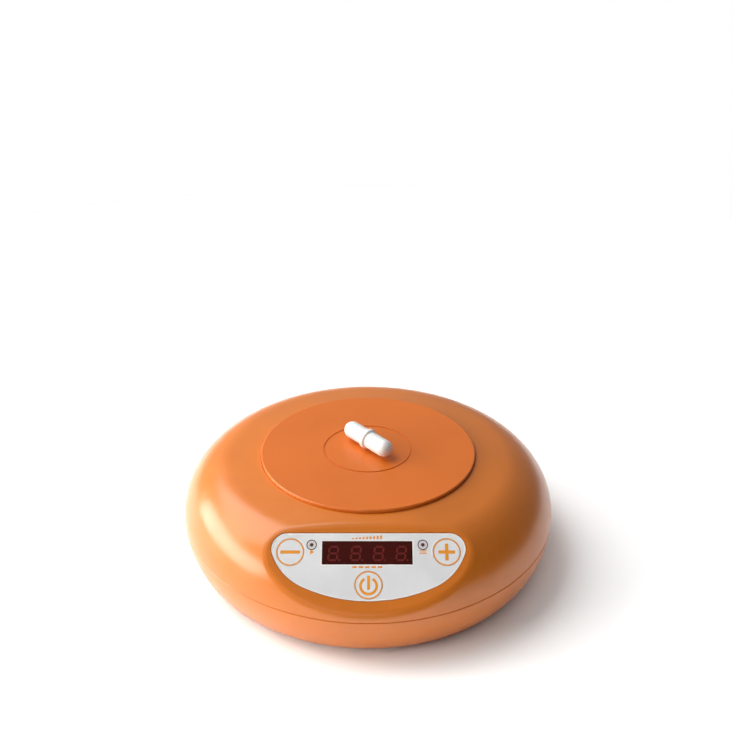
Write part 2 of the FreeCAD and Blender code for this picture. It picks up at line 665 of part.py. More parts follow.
AXIS_TO_REAR = ((1, 0, 0), "-90")
cuts = [cylinder(f"screw_well_{angle}", "screw_well_radius", "screw_seat",
                 around("post_circle", angle, 0)) for angle in DIAGONALS]
cuts += [cylinder(f"screw_way_{angle}", "screw_radius + screw_clearance", "equator",
                  around("post_circle", angle, "underside")) for angle in DIAGONALS]
cuts += [cylinder(f"foot_recess_{angle}", "foot_radius", "foot_seat",
                  around("foot_circle", angle, "underside")) for angle in SIDES]
cuts += [cylinder(f"motor_screw_hole_{angle}", "bracket_screw_radius", "bracket_screw_length",
                  around("bracket_circle", angle, "bracket_head - bracket_screw_length"))
         for angle in MOTOR_SCREWS]
cuts.append(box("inlet_recess", "inlet_recess_width", "inlet_recess_width", "inlet_recess_tall",
                (0, "inlet_face + inlet_recess_width / 2", "inlet_height - inlet_recess_tall / 2")))
cuts.append(cylinder("inlet_way", "inlet_nose_radius + inlet_nose_gap", "2 * inlet_wall",
                     (0, "inlet_face - 1.5 * inlet_wall", "inlet_height"), AXIS_TO_REAR))
cuts.append(ring("bottom_seal_groove", *seal_sizes))
sub_part("bottom_shell", cut("bottom_moulding", bottom_blank, cuts))
sub_part("shell_seal", ring("seal_ring", *seal_sizes))

# ---- work plate --------------------------------------------------------------------------

sub_part("work_plate", lathe("plate_disc", [
    ("0", "seat"),
    ("plate_radius", "seat"),
    ("plate_radius", "plate_top - plate_round"),
    ("plate_radius - plate_round", "plate_top"),
    ("centring_radius + centring_width", "plate_top"),
    ("centring_radius + centring_width", "plate_top - centring_depth"),
    ("centring_radius", "plate_top - centring_depth"),
    ("centring_radius", "plate_top"),
    ("0", "plate_top"),
], {2: ("plate_round", 1)}))

# ---- control panel: film, window, keys, indicators -------------------------------------

film_blank = padded("film_blank", film_outline("0"), "film_thickness",
                    on_panel(0, 0, "-film_thickness"), PANEL_TURN)
film_cuts = [cylinder(f"film_key_hole_{name}", "key_radius + key_gap", "3 * film_thickness",
                      on_panel(aside, down, "-2 * film_thickness"), PANEL_TURN)
             for name, (aside, down) in KEYS.items()]
film_cuts += [cylinder(f"film_pipe_hole_{name}", "pipe_radius", "3 * film_thickness",
                       on_panel(aside, "pipe_down", "-2 * film_thickness"), PANEL_TURN)
              for name, aside in PIPES.items()]
film_cuts.append(box("film_window_hole", "window_width", "window_tall", "3 * film_thickness",
                     on_panel("-window_aside", "window_down", "-2 * film_thickness"), PANEL_TURN))
sub_part("panel_film", cut("film", film_blank, film_cuts))
sub_part("display_window", box("window", "window_width", "window_tall", "window_thickness",
                               on_panel("-window_aside", "window_down", "-film_thickness"), PANEL_TURN))

display_base = box("display_base", "window_width", "window_tall", "board_sunk - panel_back",
                   on_panel("-window_aside", "window_down", "-board_sunk"), PANEL_TURN)
display_face = box("display_face", "window_width - 2.5 * window_ledge", "window_tall - 2.5 * window_ledge",
                   "board_sunk - 1.5 * film_thickness",
                   on_panel("-window_aside", "window_down", "-board_sunk"), PANEL_TURN)
sub_part("display_module", fuse("display", [display_base, display_face]))

for name, (aside, down) in KEYS.items():
    head = cylinder(f"key_head_{name}", "key_radius", "key_thickness",
                    on_panel(aside, down, "-key_thickness"), PANEL_TURN)
    stem = cylinder(f"key_stem_{name}", "key_stem_radius", "key_foot - key_thickness / 2",
                    on_panel(aside, down, "-key_foot"), PANEL_TURN)
    sub_part(f"key_{name}", fuse(f"key_whole_{name}", [head, stem]))
    housing = box(f"switch_housing_{name}", "switch_side", "switch_side", "switch_height",
                  on_panel(aside, down, "-board_sunk"), PANEL_TURN)
    button = cylinder(f"switch_button_{name}", "switch_button_radius", "board_sunk - switch_top",
                      on_panel(aside, down, "-board_sunk"), PANEL_TURN)
    sub_part(f"switch_{name}", fuse(f"switch_whole_{name}", [housing, button]))

for name, aside in PIPES.items():
    sub_part(f"light_pipe_{name}",
             cylinder(f"pipe_{name}", "pipe_radius", "board_sunk - lamp_height - lamp_gap",
                      on_panel(aside, "pipe_down", "-(board_sunk - lamp_height - lamp_gap)"), PANEL_TURN))
    sub_part(f"lamp_{name}", box(f"lamp_chip_{name}", "lamp_length", "lamp_width", "lamp_height",
                                 on_panel(aside, "pipe_down", "-board_sunk"), PANEL_TURN))

# ---- control board -------------------------------------------------------------------------


def board_sketch(body):
    """The board's outline: a wide upper part with its two lower corners cut."""
    right = [("board_half", "-board_top_down"), ("board_half", "-board_corner_down"),
             ("board_foot_half", "-board_foot_down")]
    left = [(f"-{aside}", down) for aside, down in reversed(right)]
    return outline(body, "XY_Plane", right + left)


board_blank = padded("board_blank", board_sketch, "board_thickness",
                     on_panel(0, 0, "-board_back"), PANEL_TURN)
board_holes = [cylinder(f"board_hole_{side}", "board_screw_radius", "3 * board_thickness",
                        on_panel(aside, "board_screw_down", "-board_back - board_thickness"), PANEL_TURN)
               for side, aside in BOARD_SCREWS.items()]
sub_part("control_board", cut("board", board_blank, board_holes))


def screw(label, head_radius, head_height, radius, length, at, turn, socket_depth):
    """A screw that points along its own +Z, its head's underside at the point given."""
    flange = cylinder(label + "_flange", head_radius, head_height, (0, 0, f"-({head_height})"))
    shank = cylinder(label + "_shank", radius, f"{length} + {head_height} / 2", (0, 0, f"-({head_height}) / 2"))
    socket = cylinder(label + "_socket", "screw_socket_radius", socket_depth, (0, 0, f"-({head_height})"))
    whole = cut(label + "_whole", fuse(label + "_blank", [flange, shank]), [socket])
    return sub_part(label, put(whole, at, turn))


for side, aside in BOARD_SCREWS.items():
    screw(f"board_screw_{side}", "board_head_radius", "board_head_height", "board_screw_radius",
          "board_screw_length", on_panel(aside, "board_screw_down", "-board_back"), PANEL_TURN,
          "board_head_height / 2")
sub_part("controller_chip", box("chip", "chip_side", "chip_side", "chip_height",
                                on_panel(0, "chip_down", "-board_back - chip_height"), PANEL_TURN))
HEADERS = {"motor": "-header_aside", "power": "header_aside"}
for name, aside in HEADERS.items():
    sub_part(f"{name}_header", box(f"header_block_{name}", "header_length", "header_width", "header_height",
                                   on_panel(aside, "header_down", "-board_back - header_height"), PANEL_TURN))

# ---- screws, feet and label of the housing -------------------------------------------------

for number, angle in enumerate(DIAGONALS, start=1):
    screw(f"housing_screw_{number}", "screw_head_radius", "screw_head_height", "screw_radius", "screw_length",
          around("post_circle", angle, "screw_seat"), None, "screw_head_height / 2")
for number, angle in enumerate(SIDES, start=1):
    sub_part(f"rubber_foot_{number}", cylinder(f"foot_{number}", "foot_radius", "underside + foot_seat",
                                               around("foot_circle", angle, 0)))
sub_part("rating_label", box("label", "label_length", "label_width", "label_thickness",
                             (0, 0, "underside - label_thickness")))

# ---- power inlet ---------------------------------------------------------------------------

inlet_body = box("inlet_body", "inlet_side", "inlet_length", "inlet_side",
                 (0, "inlet_back + inlet_length / 2", "inlet_height - inlet_side / 2"))
inlet_nose = cylinder("inlet_nose", "inlet_nose_radius", "inlet_wall + inlet_length / 2",
                      (0, "inlet_face - inlet_wall - inlet_length / 2", "inlet_height"), AXIS_TO_REAR)
inlet_bore = cylinder("inlet_bore", "inlet_bore_radius", "2 * inlet_bore_depth",
                      (0, "inlet_bore_end", "inlet_height"), AXIS_TO_REAR)
root_sizes = ("inlet_root_radius", "inlet_bore_end - inlet_back", (0, "inlet_back", "inlet_height"), AXIS_TO_REAR)
inlet_root_hole = cylinder("inlet_root_hole", *root_sizes)
sub_part("inlet_housing", cut("inlet", fuse("inlet_blank", [inlet_body, inlet_nose]),
                              [inlet_bore, inlet_root_hole]))
inlet_shank = cylinder("inlet_shank", "inlet_pin_radius", "inlet_pin_length",
                       (0, "inlet_bore_end", "inlet_height"), AXIS_TO_REAR)
sub_part("inlet_pin", fuse("pin", [cylinder("inlet_root", *root_sizes), inlet_shank]))

# ---- motor: bracket, bearings, stator -----------------------------------------------------

for number, angle in enumerate(MOTOR_SCREWS, start=1):
    screw(f"bracket_screw_{number}", "bracket_head_radius", "bracket_head_height", "bracket_screw_radius",
          "bracket_screw_length", around("bracket_circle", angle, "bracket_head"), ((1, 0, 0), "180"),
          "bracket_head_height / 2")
bracket_disc = ring("bracket_disc", "bracket_radius", "tube_radius", "bracket_thickness",
                    (0, 0, "bracket_foot"))
bracket_holes = [cylinder(f"bracket_hole_{angle}", "bracket_screw_radius", "3 * bracket_thickness",
                          around("bracket_circle", angle, "bracket_foot - bracket_thickness"))
                 for angle in MOTOR_SCREWS]
sub_part("motor_bracket", cut("bracket", bracket_disc, bracket_holes))
sub_part("bearing_tube", lathe("tube", [
    ("0", "0"),
    ("tube_radius", "0"),
    ("tube_radius", "tube_length"),
    ("bearing_radius", "tube_length"),
    ("bearing_radius", "tube_cap"),
    ("0", "tube_cap"),
], None, (0, 0, "tube_foot")))
BEARINGS = {"lower": "shaft_foot + shaft_foot_gap", "upper": "tube_head - bearing_height"}
for name, height in BEARINGS.items():
    sub_part(f"bearing_{name}", ring(f"bearing_ring_{name}", "bearing_radius", "shaft_radius + bearing_gap",
                                     "bearing_height", (0, 0, height)))

drive_disc = cylinder("drive_disc", "drive_board_radius", "drive_board_thickness", (0, 0, "bracket_head"))
drive_tab = box("drive_tab", "drive_tab_reach", "drive_tab_width", "drive_board_thickness",
                ("-drive_tab_reach / 2", 0, "bracket_head"))
drive_hole = cylinder("drive_hole", "tube_radius", "3 * drive_board_thickness",
                      (0, 0, "bracket_head - drive_board_thickness"))
sub_part("drive_board", cut("drive", fuse("drive_blank", [drive_disc, drive_tab]), [drive_hole]))
sub_part("position_sensor", box("sensor", "sensor_width", "sensor_length", "sensor_height",
                                ("sensor_reach * cos(45)", "sensor_reach * sin(45)", "drive_board_head"),
                                ((0, 0, 1), "45")))

core_height = (0, 0, "core_foot")
core_shoes = ring("core_shoes", "core_radius", "core_radius - core_shoe", "core_height", core_height)
shoe_slots = [box(f"shoe_slot_{angle}", "2 * core_radius + 2", "shoe_slot", "3 * core_height",
                  (0, 0, "core_foot - core_height"), ((0, 0, 1), angle)) for angle in DIAGONALS[:2]]
core_arms = [box(f"core_arm_{angle}", "2 * core_radius - core_shoe", "tooth_width", "core_height",
                 core_height, ((0, 0, 1), angle)) for angle in SIDES[:2]]
core_hub = cylinder("core_hub", "core_hub_radius", "core_height", core_height)
core_blank = fuse("core_blank", [core_hub, cut("core_shoes_cut", core_shoes, shoe_slots)] + core_arms)
core_bore = cylinder("core_bore", "tube_radius", "3 * core_height", (0, 0, "core_foot - core_height"))
sub_part("stator_core", cut("core", core_blank, [core_bore]))

for number, angle in enumerate(SIDES, start=1):
    turn = ((0, 0, 1), angle)
    winding = box(f"winding_{number}", "coil_length", "coil_width", "core_height + 2 * coil_over",
                  around("coil_middle", angle, "coil_foot"), turn)
    tooth = box(f"winding_tooth_{number}", "2 * coil_length", "tooth_width", "core_height",
                around("coil_middle", angle, "core_foot"), turn)
    sub_part(f"stator_coil_{number}", cut(f"coil_{number}", winding, [tooth]))

# ---- rotor: shaft, cup, ring magnet, hub, yoke, carrier and its two magnets --------------

sub_part("rotor_shaft", cylinder("shaft", "shaft_radius", "carrier_foot + carrier_height / 2 - shaft_foot",
                                 (0, 0, "shaft_foot")))
sub_part("ring_magnet", ring("magnet_ring", "ring_magnet_outer", "ring_magnet_inner", "ring_magnet_height",
                             (0, 0, "core_foot + core_height / 2 - ring_magnet_height / 2")))
sub_part("rotor_cup", lathe("cup", [
    ("shaft_radius", "cup_head - cup_wall"),
    ("ring_magnet_outer", "cup_head - cup_wall"),
    ("ring_magnet_outer", "cup_foot"),
    ("cup_radius", "cup_foot"),
    ("cup_radius", "cup_head"),
    ("shaft_radius", "cup_head"),
]))
sub_part("rotor_hub", ring("hub", "hub_radius", "shaft_radius", "yoke_foot - cup_head", (0, 0, "cup_head")))
yoke_bar = box("yoke_bar", "yoke_length", "yoke_width", "yoke_thickness", (0, 0, "yoke_foot"), BAR_TURN)
shaft_way = cylinder("shaft_way", "shaft_radius", "plate_top", (0, 0, 0))
sub_part("magnet_yoke", cut("yoke", yoke_bar, [shaft_way]))

MAGNETS = {"north": "magnet_reach", "south": "-magnet_reach"}
carrier_disc = cylinder("carrier_disc", "carrier_radius", "carrier_height", (0, 0, "carrier_foot"))
magnet_wells = []
for name, distance in MAGNETS.items():
    spot = around(distance, "bar_angle", "carrier_foot")
    magnet_wells.append(cylinder(f"magnet_well_{name}", "magnet_radius", "2 * carrier_height", spot))
    sub_part(f"drive_magnet_{name}", cylinder(f"magnet_{name}", "magnet_radius", "magnet_height", spot))
carrier_bore = cylinder("carrier_bore", "shaft_radius", "carrier_height / 2", (0, 0, "carrier_foot"))
sub_part("magnet_carrier", cut("carrier", carrier_disc, magnet_wells + [carrier_bore]))

# ---- stir bar ------------------------------------------------------------------------------

straight = "bar_length - 2 * bar_radius"
ALONG_X = ((0, 1, 0), "90")
rod = cylinder("bar_rod", "bar_radius", straight, (f"-({straight}) / 2", 0, 0), ALONG_X)
ends = [primitive("Sphere", f"bar_end_{number}", (f"{side} * ({straight}) / 2", 0, 0), None,
                  {"Radius": "bar_radius"}) for number, side in enumerate((-1, 1), start=1)]
collar = lathe("bar_collar", [
    ("0", "-bar_ring_width / 2"),
    ("bar_ring_radius - bar_ring_round", "-bar_ring_width / 2"),
    ("bar_ring_radius", "bar_ring_round - bar_ring_width / 2"),
    ("bar_ring_radius", "bar_ring_width / 2 - bar_ring_round"),
    ("bar_ring_radius - bar_ring_round", "bar_ring_width / 2"),
    ("0", "bar_ring_width / 2"),
])
put(collar, (0, 0, 0), ALONG_X)
bar_place = (0, 0, "bar_height")
core_sizes = ("bar_core_radius", "bar_core_length", ("-bar_core_length / 2", 0, 0), ALONG_X)
jacket = cut("bar_jacket", fuse("bar_blank", [rod, collar] + ends), [cylinder("bar_hollow", *core_sizes)])
sub_part("stir_bar_jacket", put(jacket, bar_place, BAR_TURN))
core_rod = hold("bar_core", cylinder("bar_core_rod", *core_sizes))
sub_part("stir_bar_core", put(core_rod, bar_place, BAR_TURN))

# ---- leads inside the housing --------------------------------------------------------------


def header_point(aside, beyond):
    """A point behind a header on the control board."""
    return on_panel(aside, "header_down", f"-board_back - header_height - {beyond}")


sub_part("power_lead", lead("power_lead_run", [
    ("0", "inlet_back", "inlet_height"),
    ("0", "inlet_back - lead_run", "inlet_height"),
    around("lead_reach", 50, "lead_height"),
    around("lead_reach", 15, "lead_height"),
    around("lead_reach", -20, "lead_height"),
    around("lead_reach + lead_run / 4", -50, "lead_height + lead_radius"),
    header_point("header_aside", "lead_run"),
    header_point("header_aside", "0"),
]))
sub_part("motor_lead", lead("motor_lead_run", [
    ("-drive_tab_reach", "0", "bracket_head + 1.2 * lead_radius"),
    ("-drive_tab_reach - 0.7 * lead_run", "0", "bracket_head + 1.2 * lead_radius"),
    around("lead_reach - lead_run / 4", 205, "lead_height"),
    around("lead_reach", 232, "lead_height + lead_radius"),
    header_point("-header_aside", "lead_run"),
    header_point("-header_aside", "0"),
]))

# ---- checks, then one STEP file for each piece -----------------------------------------------

doc.recompute()
for item in doc.Objects:
    if "Invalid" in item.State or "Error" in item.State:
        raise RuntimeError(f"{item.Name} failed to recompute: {item.State}")
for item in parts:
    if item.Shape.isNull() or not item.Shape.isValid():
        raise RuntimeError(f"{item.Label} has no valid shape")
    if len(item.Shape.Solids) != 1:
        raise RuntimeError(f"{item.Label} has {len(item.Shape.Solids)} solids")

os.makedirs("parts", exist_ok=True)
for item in parts:
    item.Shape.exportStep(f"parts/{item.Label}.step")
    print(f"{item.Label}: {item.Shape.Volume:.1f} mm3")
print(f"{len(parts)} pieces")
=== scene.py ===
"""The magnetic stirrer's looks: a finish for every solid, and the panel's print, the display's
digits, the indicators' rings and the label's print, which are too fine for the solid model."""
import math

import bmesh
import bpy
from mathutils import Matrix, Vector


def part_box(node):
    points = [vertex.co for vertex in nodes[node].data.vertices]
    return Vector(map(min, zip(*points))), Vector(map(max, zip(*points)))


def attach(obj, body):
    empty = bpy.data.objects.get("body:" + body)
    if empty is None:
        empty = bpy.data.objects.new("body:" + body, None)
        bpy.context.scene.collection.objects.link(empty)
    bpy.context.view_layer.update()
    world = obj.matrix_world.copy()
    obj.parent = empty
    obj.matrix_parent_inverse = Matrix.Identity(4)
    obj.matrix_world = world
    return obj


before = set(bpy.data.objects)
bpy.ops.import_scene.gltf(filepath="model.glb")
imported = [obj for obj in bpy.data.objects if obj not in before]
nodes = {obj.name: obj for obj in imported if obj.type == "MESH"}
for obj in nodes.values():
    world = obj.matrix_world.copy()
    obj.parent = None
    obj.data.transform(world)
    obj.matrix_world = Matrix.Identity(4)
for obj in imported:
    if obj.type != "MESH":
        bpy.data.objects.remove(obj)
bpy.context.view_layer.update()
MM = 0.001
KEYS = ("minus", "plus", "power")
LAMPS = ("run", "settings")


# ---- materials ----------------------------------------------------------------------------

NOISE_LOW, NOISE_HIGH = 0.3, 0.7      # most of a noise texture's values lie between these
WAVE_LENGTH = 0.314                   # metres between the ridges of a wave texture of scale 1
STACKED = (0, math.pi / 2, 0)         # turns a pattern of bands so that they lie over each other


def shade(red, green, blue):
    """A screen colour, 0 to 255 each, as the linear colour that a shader wants."""
    return tuple((c / 255 / 12.92) if c < 11 else ((c / 255 + 0.055) / 1.055) ** 2.4
                 for c in (red, green, blue)) + (1.0,)


def darker(colour, share):
    return tuple(c * share for c in colour[:3]) + (1.0,)


class Finish:
    """One material, with the texture helpers that all finishes share."""

    def __init__(self, name, colour, roughness, metallic=0.0):
        self.material = bpy.data.materials.new(name)
        self.material.use_nodes = True
        self.tree = self.material.node_tree
        self.shader = self.tree.nodes["Principled BSDF"]
        self.place = self.tree.nodes.new("ShaderNodeTexCoord")
        self.shader.inputs["Base Color"].default_value = colour
        self.shader.inputs["Roughness"].default_value = roughness
        self.shader.inputs["Metallic"].default_value = metallic
        self.colour = colour
        self.roughness = roughness

    def node(self, kind, **values):
        node = self.tree.nodes.new(kind)
        for name, value in values.items():
            setattr(node, name, value)
        return node

    def link(self, start, end):
        self.tree.links.new(start, end)

    def at(self, turn=(0, 0, 0)):
        mapping = self.node("ShaderNodeMapping")
        mapping.inputs["Rotation"].default_value = turn
        self.link(self.place.outputs["Object"], mapping.inputs["Vector"])
        return mapping.outputs["Vector"]

    def noise(self, size):
        """Noise whose blotches are about this many millimetres across."""
        noise = self.node("ShaderNodeTexNoise")
        noise.inputs["Scale"].default_value = 1 / (size * MM)
        noise.inputs["Detail"].default_value = 3
        self.link(self.at(), noise.inputs["Vector"])
        return noise.outputs["Fac"]

    def bands(self, pitch, turn=(0, 0, 0), waver=0.0):
        """Parallel ridges this many millimetres apart."""
        wave = self.node("ShaderNodeTexWave", wave_type="BANDS")
        wave.inputs["Scale"].default_value = WAVE_LENGTH / (pitch * MM)
        wave.inputs["Distortion"].default_value = waver
        self.link(self.at(turn), wave.inputs["Vector"])
        return wave.outputs["Fac"]

    def mottle_and_shade(self, pattern, dark, light, low=NOISE_LOW, high=NOISE_HIGH):
        """The colour drifts between a darker and a lighter shade of itself along the pattern: random
        tone with noise, painted shade and highlight with grooves.
        """
        ramp = self.node("ShaderNodeValToRGB")
        ramp.color_ramp.elements[0].position = low
        ramp.color_ramp.elements[1].position = high
        ramp.color_ramp.elements[0].color = darker(self.colour, dark)
        ramp.color_ramp.elements[1].color = darker(self.colour, light)
        self.link(pattern, ramp.inputs["Fac"])
        self.link(ramp.outputs["Color"], self.shader.inputs["Base Color"])

    def gloss(self, pattern, spread):
        """The roughness varies this much either way."""
        reach = self.node("ShaderNodeMapRange")
        reach.inputs["From Min"].default_value = NOISE_LOW
        reach.inputs["From Max"].default_value = NOISE_HIGH
        reach.inputs["To Min"].default_value = self.roughness - spread
        reach.inputs["To Max"].default_value = self.roughness + spread
        self.link(pattern, reach.inputs["Value"])
        self.link(reach.outputs["Result"], self.shader.inputs["Roughness"])

    def relief(self, pattern, depth, strength=0.6):
        """The pattern stands this many millimetres proud."""
        bump = self.node("ShaderNodeBump")
        bump.inputs["Strength"].default_value = strength
        bump.inputs["Distance"].default_value = depth * MM
        self.link(pattern, bump.inputs["Height"])
        self.link(bump.outputs["Normal"], self.shader.inputs["Normal"])

    def set(self, **values):
        for name, value in values.items():
            self.shader.inputs[name.replace("_", " ")].default_value = value


def moulded(name, colour, roughness, grain=0.35, depth=0.012, drift=30):
    """Moulded plastic: spark-eroded grain, a slow drift of shade, uneven gloss."""
    finish = Finish(name, colour, roughness)
    finish.mottle_and_shade(finish.noise(drift), dark=0.95, light=1.04)
    finish.gloss(finish.noise(drift / 4), spread=0.04)
    finish.relief(finish.noise(grain), depth, strength=0.4)
    return finish


def turned(name, colour, roughness, pitch=0.12, depth=0.004):
    """Machined metal with fine tool marks round its axis."""
    finish = Finish(name, colour, roughness, metallic=1.0)
    finish.mottle_and_shade(finish.noise(2.5), dark=0.88, light=1.05)
    finish.gloss(finish.noise(0.8), spread=0.07)
    finish.relief(finish.bands(pitch, STACKED, waver=0.4), depth, strength=0.4)
    return finish


def layered(name, colour, roughness, layers, depth, **groove_shade):
    """Metal in fine layers, such as wound wire or stacked sheets: painted shade darkens the grooves
    between them and a painted highlight lightens the ridges.
    """
    finish = Finish(name, colour, roughness, metallic=1.0)
    ridges = finish.bands(**layers)
    finish.relief(ridges, depth, strength=1.0)
    # painted shade in the grooves between the layers and a painted highlight on the ridges, on the
    # bands of the bump
    finish.mottle_and_shade(ridges, light=1.1, **groove_shade)
    return finish


def inked(name, colour, roughness=0.42):
    """Screen-printed ink, a little uneven in cover."""
    finish = Finish(name, colour, roughness)
    finish.mottle_and_shade(finish.noise(0.4), dark=0.94, light=1.05)
    finish.gloss(finish.noise(0.9), spread=0.05)
    return finish


def smoked(name, colour, roughness):
    """A tinted clear window, smooth, with hardly any drift of shade."""
    finish = Finish(name, colour, roughness)
    finish.mottle_and_shade(finish.noise(9), dark=0.85, light=1.15)
    finish.gloss(finish.noise(4), spread=0.03)
    finish.set(Specular_IOR_Level=0.25)
    return finish


def sintered(name, colour, roughness):
    """Pressed magnet powder, dark and grainy."""
    finish = Finish(name, colour, roughness, metallic=0.6)
    finish.mottle_and_shade(finish.noise(0.3), dark=0.8, light=1.2)
    finish.relief(finish.noise(0.25), depth=0.02)
    return finish


def circuit_board(name, colour, track_colour):
    """Solder mask over a regular net of tracks."""
    finish = Finish(name, colour, roughness=0.32)
    tracks = finish.node("ShaderNodeTexBrick", offset=0.5)
    tracks.inputs["Scale"].default_value = 1.0
    tracks.inputs["Brick Width"].default_value = 4.2 * MM
    tracks.inputs["Row Height"].default_value = 1.3 * MM
    tracks.inputs["Mortar Size"].default_value = 0.16 * MM
    tracks.inputs["Color1"].default_value = colour
    tracks.inputs["Color2"].default_value = darker(colour, 0.85)
    tracks.inputs["Mortar"].default_value = track_colour
    finish.link(finish.place.outputs["Object"], tracks.inputs["Vector"])
    finish.link(tracks.outputs["Color"], finish.shader.inputs["Base Color"])
    finish.gloss(finish.noise(3), spread=0.05)
    finish.relief(tracks.outputs["Fac"], depth=0.03)
    return finish


shell_orange = moulded("shell_orange", shade(214, 117, 28), 0.32)
shell_orange.set(Specular_IOR_Level=0.5, Coat_Weight=0.3, Coat_Roughness=0.2)
plate_orange = moulded("plate_orange", shade(220, 112, 30), 0.36, grain=0.3, depth=0.01, drift=40)
film_grey = moulded("film_grey", shade(234, 235, 237), 0.46, grain=0.18, depth=0.005, drift=14)
key_grey = moulded("key_grey", shade(234, 235, 237), 0.44, grain=0.18, depth=0.005, drift=8)
# white ink that paints a highlight along the film's rim and round the window
highlight_white = inked("highlight_white", shade(250, 248, 246))
print_orange = inked("print_orange", shade(243, 157, 46))
print_dark = inked("print_dark", shade(78, 44, 44))
window_brown = smoked("window_brown", shade(66, 16, 10), 0.16)
digit_red = inked("digit_red", shade(104, 30, 26), 0.2)
pipe_clear = moulded("pipe_clear", shade(226, 214, 216), 0.18, grain=0.4, depth=0.003, drift=3)
pipe_clear.set(Subsurface_Weight=0.12, Subsurface_Scale=0.0008)
lamp_resin = moulded("lamp_resin", shade(214, 64, 44), 0.2, grain=0.5, depth=0.003, drift=2)
display_resin = moulded("display_resin", shade(48, 44, 46), 0.4, grain=0.5)
black_nylon = moulded("black_nylon", shade(26, 26, 28), 0.5, grain=0.25, depth=0.015, drift=12)
carrier_nylon = moulded("carrier_nylon", shade(222, 217, 203), 0.48, grain=0.5, depth=0.02, drift=12)
ptfe_white = moulded("ptfe_white", shade(240, 240, 238), 0.38, grain=0.9, depth=0.012, drift=6)
ptfe_white.set(Subsurface_Weight=0.15, Subsurface_Scale=0.001)
foot_rubber = moulded("foot_rubber", shade(34, 33, 34), 0.82, grain=0.3, depth=0.03, drift=5)
seal_rubber = moulded("seal_rubber", shade(74, 32, 18), 0.7, grain=0.3, depth=0.02, drift=10)
lead_vinyl = moulded("lead_vinyl", shade(150, 24, 22), 0.42, grain=0.8, depth=0.01, drift=12)
label_paper = moulded("label_paper", shade(214, 216, 218), 0.5, grain=0.5, depth=0.004, drift=20)
label_ink = inked("label_ink", shade(52, 54, 58))
zinc_steel = turned("zinc_steel", shade(186, 190, 194), 0.34)
screw_steel = turned("screw_steel", shade(150, 152, 156), 0.3, pitch=0.2)
brass = turned("brass", shade(205, 168, 92), 0.28, pitch=0.15)
nickel = turned("nickel", shade(196, 192, 184), 0.2, pitch=0.3, depth=0.002)
# the winding and the sheet stack get painted shade in their grooves and a painted highlight on their
# ridges
copper_winding = layered("copper_winding", shade(176, 92, 44), 0.3, {"pitch": 0.35, "waver": 0.3},
                         depth=0.09, dark=0.55, low=0.1, high=0.6)
laminated_steel = layered("laminated_steel", shade(118, 120, 124), 0.45,
                          {"pitch": 0.5, "turn": STACKED}, depth=0.04, dark=0.5, low=0.05, high=0.35)
sintered_magnet = sintered("sintered_magnet", shade(72, 72, 76), 0.5)
board_green = circuit_board("board_green", shade(18, 78, 44), shade(38, 112, 60))

FINISHES = {
    shell_orange: ["top_shell", "bottom_shell"],
    seal_rubber: ["shell_seal"],
    plate_orange: ["work_plate"],
    film_grey: ["panel_film"],
    key_grey: [f"key_{key}" for key in KEYS],
    window_brown: ["display_window"],
    display_resin: ["display_module"],
    pipe_clear: [f"light_pipe_{lamp}" for lamp in LAMPS],
    lamp_resin: [f"lamp_{lamp}" for lamp in LAMPS],
    board_green: ["control_board", "drive_board"],
    black_nylon: [f"switch_{key}" for key in KEYS] + ["controller_chip", "position_sensor",
                                                      "inlet_housing"],
    carrier_nylon: ["motor_header", "power_header", "magnet_carrier"],
    screw_steel: ["board_screw_left", "board_screw_right"]
                 + [f"housing_screw_{place}" for place in range(1, 5)]
                 + [f"bracket_screw_{place}" for place in range(1, 4)],
    foot_rubber: [f"rubber_foot_{place}" for place in range(1, 5)],
    label_paper: ["rating_label"],
    nickel: ["inlet_pin", "drive_magnet_north", "drive_magnet_south"],
    zinc_steel: ["motor_bracket", "bearing_lower", "bearing_upper", "rotor_shaft", "rotor_cup",
                 "magnet_yoke"],
    brass: ["bearing_tube", "rotor_hub"],
    laminated_steel: ["stator_core"],
    copper_winding: [f"stator_coil_{place}" for place in range(1, 5)],
    sintered_magnet: ["ring_magnet", "stir_bar_core"],
    ptfe_white: ["stir_bar_jacket"],
    lead_vinyl: ["power_lead", "motor_lead"],
}
for finish, names in FINISHES.items():
    for name in names:
        materials = nodes[name].data.materials
        materials.clear()
        materials.append(finish.material)
unfinished = set(nodes) - {name for names in FINISHES.values() for name in names}
if unfinished:
    raise RuntimeError(f"no finish for {sorted(unfinished)}")


# ---- tools for new pieces: sizes are millimetres, places are metres ------------------------

SUNK = 0.03              # how far print reaches into the face under it
SPOT_EDGE = 0.012        # softened rim of a round spot
UP = (0, 0, 1)


def extent(node, turn):
    """A node's lowest and highest corners along the directions of a turned frame."""
    points = [turn.inverted() @ v.co for v in nodes[node].data.vertices]
    return (Vector([min(p[i] for p in points) for i in range(3)]),
            Vector([max(p[i] for p in points) for i in range(3)]))


SLOPE_DEGREES = 37       # how far the facet that carries the film leans forward
PANEL_SLOPE = Matrix.Rotation(math.radians(SLOPE_DEGREES), 4, "X")
film_low, film_high = extent("panel_film", PANEL_SLOPE)
# from here on the panel's own frame: X aside, Y up the slope, Z out of the film's face,
# with its origin in the middle of the film's top edge
PANEL = PANEL_SLOPE @ Matrix.Translation((0, film_high.y, film_high.z))


def on_panel(node):
    """The middle of a node's outer face, in the panel's frame."""
    low, high = extent(node, PANEL)
    return Vector(((low.x + high.x) / 2, (low.y + high.y) / 2, high.z))


